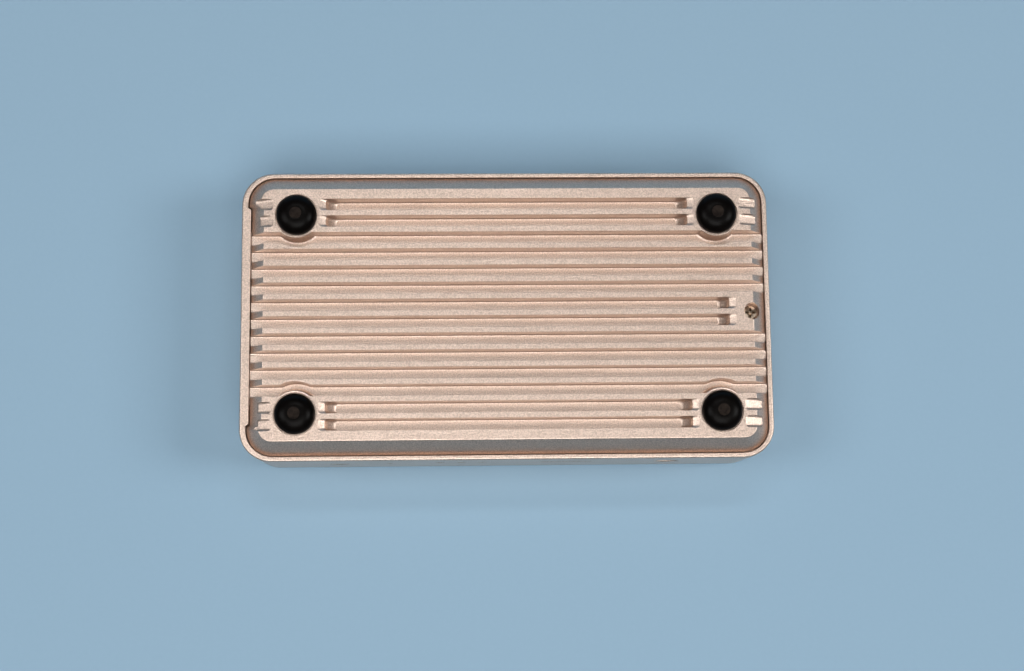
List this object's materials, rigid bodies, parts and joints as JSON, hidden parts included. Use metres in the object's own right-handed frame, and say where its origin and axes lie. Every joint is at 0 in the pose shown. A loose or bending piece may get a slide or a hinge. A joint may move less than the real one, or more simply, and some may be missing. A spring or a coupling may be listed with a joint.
{
  "type": "single board computer",
  "caption": "Single board computer in a flat champagne aluminium case, lying on its lid with the finned heat sink base and rubber feet up; network, video and USB ports on one long side.",
  "frame": {"origin": "middle of the lid's outer face, which lies on the surface that the part stands on", "axes": "+Z from the lid to the feet (the part lies on its lid, feet up), +X towards the end with the base screw, +Y towards the ports, -Y towards the button side"},
  "size_m": [0.125, 0.0684, 0.0278],
  "materials": {
    "anodised": "sand-blasted, champagne anodised",
    "rubber": "moulded, glossy",
    "steel": "nickel plated screw",
    "tin": "tin plated sheet",
    "board": "solder mask",
    "chip": "moulded epoxy",
    "black": "moulded nylon",
    "blue": "moulded nylon",
    "pad": "soft thermal pad",
    "ferrite": "pressed ferrite",
    "cell": "coin cell can",
    "clear": "moulded clear light guide",
    "light": "side-looking light chip"
  },
  "bodies": {
    "root": {"housing_shell": "anodised", "main_board": "board", "board_screw_1": "steel", "board_screw_2": "steel", "board_screw_3": "steel", "board_screw_4": "steel", "processor": "chip", "thermal_pad": "pad", "memory_chip_1": "chip", "memory_chip_2": "chip", "storage_chip": "chip", "power_controller": "chip", "ethernet_controller_1": "chip", "ethernet_controller_2": "chip", "inductor_1": "ferrite", "inductor_2": "ferrite", "inductor_3": "ferrite", "clock_battery_holder": "black", "clock_battery": "cell", "storage_socket": "black", "debug_header": "black", "power_port_shell": "tin", "power_port_tongue": "black", "video_port_shell": "tin", "video_port_tongue": "black", "usb_port_1_shell": "tin", "usb_port_1_tongue": "blue", "usb_port_2_shell": "tin", "usb_port_2_tongue": "blue", "ethernet_jack_1_shield": "tin", "ethernet_jack_1_insert": "black", "ethernet_jack_2_shield": "tin", "ethernet_jack_2_insert": "black", "card_socket_cover": "tin", "card_socket_tray": "black", "audio_jack": "black", "power_switch": "black", "reset_switch": "black", "light_guide_1": "clear", "light_chip_1": "light", "light_guide_2": "clear", "light_chip_2": "light", "light_guide_3": "clear", "light_chip_3": "light"},
    "base": {"finned_base": "anodised", "rubber_foot_1": "rubber", "rubber_foot_2": "rubber", "rubber_foot_3": "rubber", "rubber_foot_4": "rubber"},
    "screw": {"base_screw": "steel"},
    "power_key": {"power_button": "anodised", "power_plunger": "black"},
    "reset_key": {"reset_button": "black", "reset_plunger": "black"}
  },
  "joints": [
    {"name": "base_tilt", "type": "hinge", "parent": "root", "child": "base", "pos_m": [-0.06015, 0, 0.0217], "axis": [0, -1, 0], "range_deg": [0, 60]},
    {"name": "screw_out", "type": "slide", "parent": "base", "child": "screw", "axis": [0, 0, 1], "range_m": [0, 0.0075]},
    {"name": "power_press", "type": "slide", "parent": "root", "child": "power_key", "axis": [0, 1, 0], "range_m": [0, 0.0004], "stiffness_N_per_m": 600},
    {"name": "reset_press", "type": "slide", "parent": "root", "child": "reset_key", "axis": [0, 1, 0], "range_m": [0, 0.0004], "stiffness_N_per_m": 600}
  ]
}
